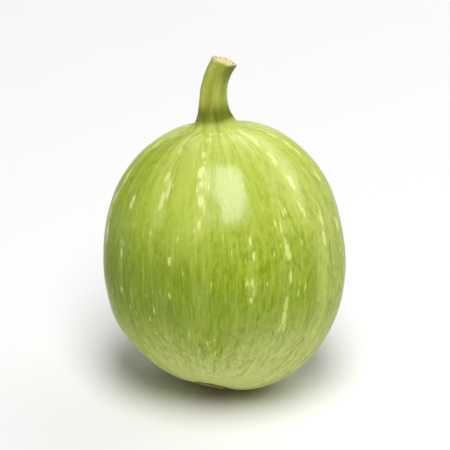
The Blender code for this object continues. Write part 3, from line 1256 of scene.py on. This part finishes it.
@dataclass
class Fruit:
    """The fruit's fine skin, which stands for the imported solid."""

    form: GourdForm = field(default_factory=GourdForm)
    finish: SkinFinish = field(default_factory=SkinFinish)
    sides: int = 400
    ring_step: float = math.radians(0.95)
    fine_from: float = math.radians(168.0)
    fine_step: float = math.radians(0.25)
    pole_gap: float = 1e-4
    middle: np.ndarray = field(default_factory=lambda: np.zeros(3))

    def ring_angles(self) -> np.ndarray:
        """Spaces the rings from the stem to the scar, closer together at the scar.

        Returns:
            The rings' angles from the stem.
        """
        upper = np.arange(self.ring_step, self.fine_from, self.ring_step)
        lower = np.arange(self.fine_from + self.fine_step, math.pi - self.pole_gap, self.fine_step)
        return np.concatenate([upper, lower])

    def seat(self, points: np.ndarray) -> None:
        """Finds where the body's middle lies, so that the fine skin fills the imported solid's box.

        Args:
            points: places on the skin, measured from the body's middle.
        """
        low, high = (np.array(corner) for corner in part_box("fruit"))
        self.middle = (low + high) / 2.0 - (points.min(axis=0) + points.max(axis=0)) / 2.0
        self.middle[2] = high[2] - points[:, 2].max()

    def build(self) -> bpy.types.Object:
        """Builds and dresses the skin.

        Returns:
            The object.
        """
        turns = even_turns(self.sides)
        downs = np.concatenate([[0.0], self.ring_angles(), [math.pi]])
        down, around = (grid.ravel() for grid in np.meshgrid(downs, turns, indexing="ij"))
        points = self.form.skin(around, down)
        self.seat(points)
        points += self.middle
        points[:, 2] = np.maximum(points[:, 2], 0.0)
        grid = points.reshape(len(downs), self.sides, 3)
        mesh = ringed_mesh("gourd_fruit", grid[0, 0], grid[1:-1], grid[-1, 0])

        steps = np.linalg.norm(np.diff(grid, axis=0), axis=2).mean(axis=1)
        length = np.concatenate([[0.0], np.cumsum(steps)])
        share = length / length[-1]
        centres = grid.mean(axis=1)
        spans = np.linalg.norm(grid - centres[:, None], axis=2).mean(axis=1) / MM
        rows = np.concatenate([[0], np.repeat(np.arange(1, len(downs) - 1), self.sides), [-1]])
        angles = np.concatenate([[0.0], np.tile(turns, len(downs) - 2), [0.0]])
        mark(mesh, SKIN_PLACE, np.column_stack([circle(angles), share[rows]]))
        mark(mesh, SKIN_SPAN, spans[rows])

        mesh.materials.append(self.finish.material())
        skin = linked("gourd_fruit", mesh)
        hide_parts("fruit")
        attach(skin, "root")
        return skin


@dataclass
class Stem:
    """The stalk with its flared foot, ridges, bend and cut end, which stands for its solid."""

    fruit: Fruit
    finish: StalkFinish = field(default_factory=StalkFinish)
    cut_finish: CutFaceFinish = field(default_factory=CutFaceFinish)
    lean: float = math.radians(10.0)
    height: float = 19.3 * MM
    root: float = 1.4 * MM
    tip_radius: float = 3.75 * MM
    flare: float = 3.3 * MM
    flare_fade: float = 4.0 * MM
    toe: float = 1.9 * MM
    toe_fade: float = 0.45 * MM
    toe_mean: float = 0.50
    toe_lobe: float = 0.28
    toe_uneven: float = 0.12
    toe_length: float = 1.3
    toe_seed: int = 42
    tip_swell: float = 0.15 * MM
    tip_swell_fade: float = 1.6 * MM
    tip_round: float = 0.35 * MM
    round_from: float = 0.9
    sway: float = 0.8 * MM
    sway_fade: float = 3.0 * MM
    bend_start: float = 8.3 * MM
    bend_rate: float = 29.0
    upright_foot: float = 1.8 * MM
    cut_lean: float = math.radians(12.0)
    cut_reach: float = 6.0 * MM
    ridges: int = 5
    ridge_depth: float = 0.17
    foot_ridges: int = 10
    foot_ridge_depth: float = 0.12
    foot_ridge_fade: float = 3.0 * MM
    thread_depth: float = 0.07 * MM
    thread_length: float = 1.1
    thread_spread: float = 3.6
    thread_rise: float = 0.12 / MM
    thread_seed: int = 41
    skin_fade: float = 3.0 * MM
    dish: float = 0.35 * MM
    dish_edge: float = 0.72
    dish_fade: float = 0.35
    face_rough: float = 0.10 * MM
    face_grain: float = 0.22
    face_even_edge: float = 8.0
    face_seed: int = 44
    sides: int = 240
    rings: int = 170
    ring_crowding: float = 1.5
    face_rings: int = 26
    skin_rows: int = 40
    skin_from_stem: float = math.radians(26.0)

    def radius(self, height: np.ndarray) -> np.ndarray:
        """Radius over the ridges.

        Args:
            height: heights above the foot.

        Returns:
            The radius at each height.
        """
        flare = self.flare * np.exp(-height / self.flare_fade)
        swell = self.tip_swell * np.exp(-(self.height - height) / self.tip_swell_fade)
        return self.tip_radius + flare + swell

    def keep(self, around: np.ndarray, height: np.ndarray) -> np.ndarray:
        """Share of the radius that is left between the ridges.

        Args:
            around: angle round the stem.
            height: height above its foot.

        Returns:
            Numbers up to 1.
        """
        foot = np.exp(-np.maximum(height, 0.0) / self.foot_ridge_fade)
        shaft_ridge = self.ridge_depth * (0.5 - 0.5 * np.cos(self.ridges * around))
        foot_ridge = self.foot_ridge_depth * (0.5 - 0.5 * np.cos(self.foot_ridges * around))
        return 1.0 - (1.0 - foot) * shaft_ridge - foot * foot_ridge

    def sideways(self, height: np.ndarray) -> tuple[np.ndarray, np.ndarray]:
        """How far right of its foot the stem's middle lies, and its slope there.

        Args:
            height: height above the foot.

        Returns:
            The distances and the slopes.
        """
        fade = np.exp(-np.maximum(height, 0.0) / self.sway_fade)
        past = np.maximum(height - self.bend_start, 0.0)
        place = self.bend_rate * past**2 - self.sway * (1.0 - fade)
        slope = 2.0 * self.bend_rate * past - self.sway / self.sway_fade * fade
        return place, np.where(height > 0.0, slope, 0.0)

    def skin_drop(
        self, foot: np.ndarray, stand: np.ndarray, turns: np.ndarray
    ) -> tuple[np.ndarray, np.ndarray]:
        """How the skin falls away round the foot, seen along the stem.

        Args:
            foot: the foot's middle.
            stand: turns the stem's own directions into the gourd's.
            turns: angles round the stem.

        Returns:
            Distances from the stem's axis and the skin's heights there, by angle.
        """
        downs = np.linspace(0.0, self.skin_from_stem, self.skin_rows)
        down, around = (grid.ravel() for grid in np.meshgrid(downs, turns, indexing="ij"))
        skin = (self.fruit.form.skin(around, down) + self.fruit.middle - foot) @ stand
        reach = np.hypot(skin[:, 0], skin[:, 1]).reshape(len(downs), -1)
        return reach, skin[:, 2].reshape(len(downs), -1)

    def shaft_ring(
        self, turns: np.ndarray, height: float, reach: np.ndarray, drop: np.ndarray
    ) -> tuple[np.ndarray, np.ndarray]:
        """One ring of the stem's side.

        Args:
            turns: angles round the stem.
            height: height above the foot.
            reach: distances from the stem's axis to places on the skin, by angle.
            drop: the skin's heights there.

        Returns:
            Places, one in each row, and how deep in a groove each of them lies.
        """
        flat = np.full(self.sides, height)
        keep = self.keep(turns, flat)
        spread = circle(turns) * self.thread_spread
        wire = np.column_stack([spread, flat * self.thread_rise])
        thread = self.thread_depth * waves(wire, self.thread_length, self.thread_seed)
        lobes = self.toe_mean + self.toe_lobe * np.cos(self.foot_ridges * turns)
        lobes += self.toe_uneven * waves(spread, self.toe_length, self.toe_seed)
        above = max(height, 0.0)
        radius = self.radius(flat) * keep + thread + self.toe * lobes * math.exp(-above / self.toe_fade)
        fall = np.array([np.interp(r, reach[:, i], drop[:, i]) for i, r in enumerate(radius)])
        fall *= math.exp(-above / self.skin_fade)
        tall = flat + self.cut_shift(turns, flat)
        return self.ring(turns, radius, tall, fall), (1.0 - keep) / self.ridge_depth

    def face_ring(self, turns: np.ndarray, share: float) -> np.ndarray:
        """One ring of the cut face.

        Args:
            turns: angles round the stem.
            share: share of the way out from the middle.

        Returns:
            Places, one in each row.
        """
        top = np.full(self.sides, self.height - self.tip_round)
        edge = self.radius(top) * self.keep(turns, top)
        past = max(0.0, share - self.round_from) / (1.0 - self.round_from)
        rounding = self.tip_round * math.sqrt(max(0.0, 1.0 - past**2))
        dish = self.dish * float(falling(np.array(share), self.dish_edge, self.dish_fade))
        spot = circle(turns) * share
        rough = self.face_rough * waves(spot, self.face_grain, self.face_seed)
        rough *= min(1.0, (1.0 - share) * self.face_even_edge)
        tall = top + self.cut_shift(turns, top, share) + rounding - dish + rough
        return self.ring(turns, edge * share, tall, np.zeros(self.sides))

    def build(self) -> bpy.types.Object:
        """Builds and dresses the stem.

        Returns:
            The object.
        """
        stand = lean_back(self.lean)
        foot = self.fruit.form.skin(np.zeros(1), np.zeros(1))[0] + self.fruit.middle
        turns = even_turns(self.sides)
        reach, drop = self.skin_drop(foot, stand, turns)
        rings: list[np.ndarray] = []
        shades: list[np.ndarray] = []
        ups: list[np.ndarray] = []
        for row in np.linspace(0.0, 1.0, self.rings) ** self.ring_crowding:
            height = float(row) * (self.height - self.tip_round + self.root) - self.root
            ring, shade = self.shaft_ring(turns, height, reach, drop)
            rings.append(ring)
            shades.append(shade)
            ups.append(np.full(self.sides, height / self.height))
        for step in range(self.face_rings):
            share = 1.0 - step / self.face_rings
            rings.append(self.face_ring(turns, share))
            shades.append(np.full(self.sides, share))
            ups.append(np.ones(self.sides))
        local = np.array(rings)[::-1]
        end_top = local[0].mean(axis=0)
        end_root = local[-1].mean(axis=0)
        world = local @ stand.T + foot
        mesh = ringed_mesh("gourd_stem", stand @ end_top + foot, world, stand @ end_root + foot)
        shade = np.concatenate([[0.0], np.array(shades)[::-1].ravel(), [1.0]])
        up = np.concatenate([[1.0], np.array(ups)[::-1].ravel(), [0.0]])
        angles = np.concatenate([[0.0], np.tile(turns, len(rings)), [0.0]])
        mark(mesh, STALK_PLACE, np.column_stack([circle(angles), up]))
        mark(mesh, STALK_SHADE, shade)
        mesh.materials.append(self.finish.material())
        mesh.materials.append(self.cut_finish.material())
        for face in mesh.polygons:
            if min(face.vertices) <= (self.face_rings - 1) * self.sides:
                face.material_index = 1
        stem = linked("gourd_stem", mesh)
        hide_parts("stem")
        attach(stem, "root")
        return stem

    def cut_shift(self, turns: np.ndarray, height: np.ndarray, share: float = 1.0) -> np.ndarray:
        """How far points near the tip move along the stem, so that the cut lies flatter than square.

        Args:
            turns: angles round the stem.
            height: height above the foot.
            share: share of the way out from the middle of the stem.

        Returns:
            The moves.
        """
        near = 1.0 - falling(height, self.height - self.cut_reach / 2.0, self.cut_reach)
        return near * np.cos(turns) * share * self.tip_radius * math.tan(self.cut_lean)

    def ring(
        self, turns: np.ndarray, radius: np.ndarray, height: np.ndarray, fall: np.ndarray
    ) -> np.ndarray:
        """One ring of the stem, in the stem's own directions, set square to its bent middle line.

        Args:
            turns: angles round the stem.
            radius: radius at each angle.
            height: height along the stem at each angle.
            fall: how far each point is lowered to follow the skin.

        Returns:
            Places, one in each row.
        """
        place, slope = self.sideways(height)
        upright = np.exp(-((np.maximum(height, 0.0) / self.upright_foot) ** 2))
        tilt = np.arctan(slope) * (1.0 - upright)
        across = np.cos(turns) * radius
        x = place + across * np.cos(tilt)
        y = np.sin(turns) * radius
        z = height - across * np.sin(tilt) + fall
        return np.stack([x, y, z], axis=1)


@dataclass(frozen=True)
class Softbox:
    """A lamp that faces the gourd: degrees right of the front and above the floor, metres, watts."""

    name: str
    azimuth: float
    elevation: float
    width: float
    height: float
    power: float


@dataclass
class Studio:
    """Pale floor, soft lights and the camera."""

    camera_distance: float = 3.0
    camera_elevation: float = 25.0
    frame_height: float = 0.130
    look_at: Triple = (0.0, 0.002, 0.0475)
    sensor: float = 36.0
    floor_size: float = 12.0
    floor_gap: float = 0.2 * MM
    floor_white: Triple = (0.86, 0.86, 0.86)
    floor_roughness: float = 0.6
    lamp_distance: float = 1.6
    softboxes: tuple[Softbox, ...] = (
        Softbox("overhead_softbox", 9.0, 67.0, 0.76, 1.84, 29.0),
        Softbox("right_strip", 135.0, 36.0, 2.6, 0.56, 10.0),
    )
    surround: float = 0.19

    def floor(self) -> None:
        """Lays a plain pale floor just under the gourd."""
        half = self.floor_size / 2.0
        corners = [(x * half, y * half, -self.floor_gap) for x, y in ((-1, -1), (1, -1), (1, 1), (-1, 1))]
        mesh = bpy.data.meshes.new("studio_floor")
        mesh.from_pydata(corners, [], [(0, 1, 2, 3)])
        board = NodeBoard("studio_floor")
        finish = {"Base Color": (*self.floor_white, 1.0), "Roughness": self.floor_roughness}
        mesh.materials.append(board.finish(finish))
        floor = linked("studio_floor", mesh)

    def hang(
        self, name: str, data: bpy.types.ID, azimuth: float, elevation: float, distance: float
    ) -> bpy.types.Object:
        """Hangs a lamp or the camera so that it faces the gourd.

        Args:
            name: the object's name.
            data: the light or the camera.
            azimuth: degrees to the right of the front.
            elevation: degrees above the floor.
            distance: metres from the gourd.

        Returns:
            The object.
        """
        rise = math.radians(elevation)
        towards = Vector(front_turn(azimuth)) * math.cos(rise) + Vector((0.0, 0.0, math.sin(rise)))
        hung = linked(name, data)
        hung.location = Vector(self.look_at) + towards * distance
        hung.rotation_mode = "QUATERNION"
        hung.rotation_quaternion = towards.to_track_quat("Z", "Y")
        return hung

    def lights(self) -> None:
        """Hangs the softboxes and sets a dim white surround."""
        for softbox in self.softboxes:
            data = bpy.data.lights.new(softbox.name, "AREA")
            data.shape = "ELLIPSE"
            data.size, data.size_y = softbox.width, softbox.height
            data.energy = softbox.power
            lamp = self.hang(softbox.name, data, softbox.azimuth, softbox.elevation, self.lamp_distance)
            lamp.visible_camera = False
        world = bpy.data.worlds.new("studio_surround")
        world.use_nodes = True
        background = world.node_tree.nodes["Background"]
        background.inputs["Color"].default_value = (1.0, 1.0, 1.0, 1.0)
        background.inputs["Strength"].default_value = self.surround
        bpy.context.scene.world = world

    def camera(self) -> None:
        """Sets the camera at the photograph's viewing angle."""
        data = bpy.data.cameras.new("camera")
        data.sensor_width = self.sensor
        data.lens = self.sensor * self.camera_distance / self.frame_height
        bpy.context.scene.camera = self.hang("camera", data, 0.0, self.camera_elevation, self.camera_distance)

    def build(self) -> None:
        """Sets the whole studio."""
        self.floor()
        self.lights()
        self.camera()
        bpy.context.scene.view_settings.view_transform = "Standard"


def main() -> None:
    logging.basicConfig(level=logging.INFO, format="%(name)s: %(message)s")
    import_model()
    fruit = Fruit()
    skin = fruit.build()
    LOG.info("%s: %d faces", skin.name, len(skin.data.polygons))
    stem = Stem(fruit).build()
    LOG.info("%s: %d faces", stem.name, len(stem.data.polygons))
    Studio().build()
    bpy.context.view_layer.update()


if __name__ == "__main__":
    main()
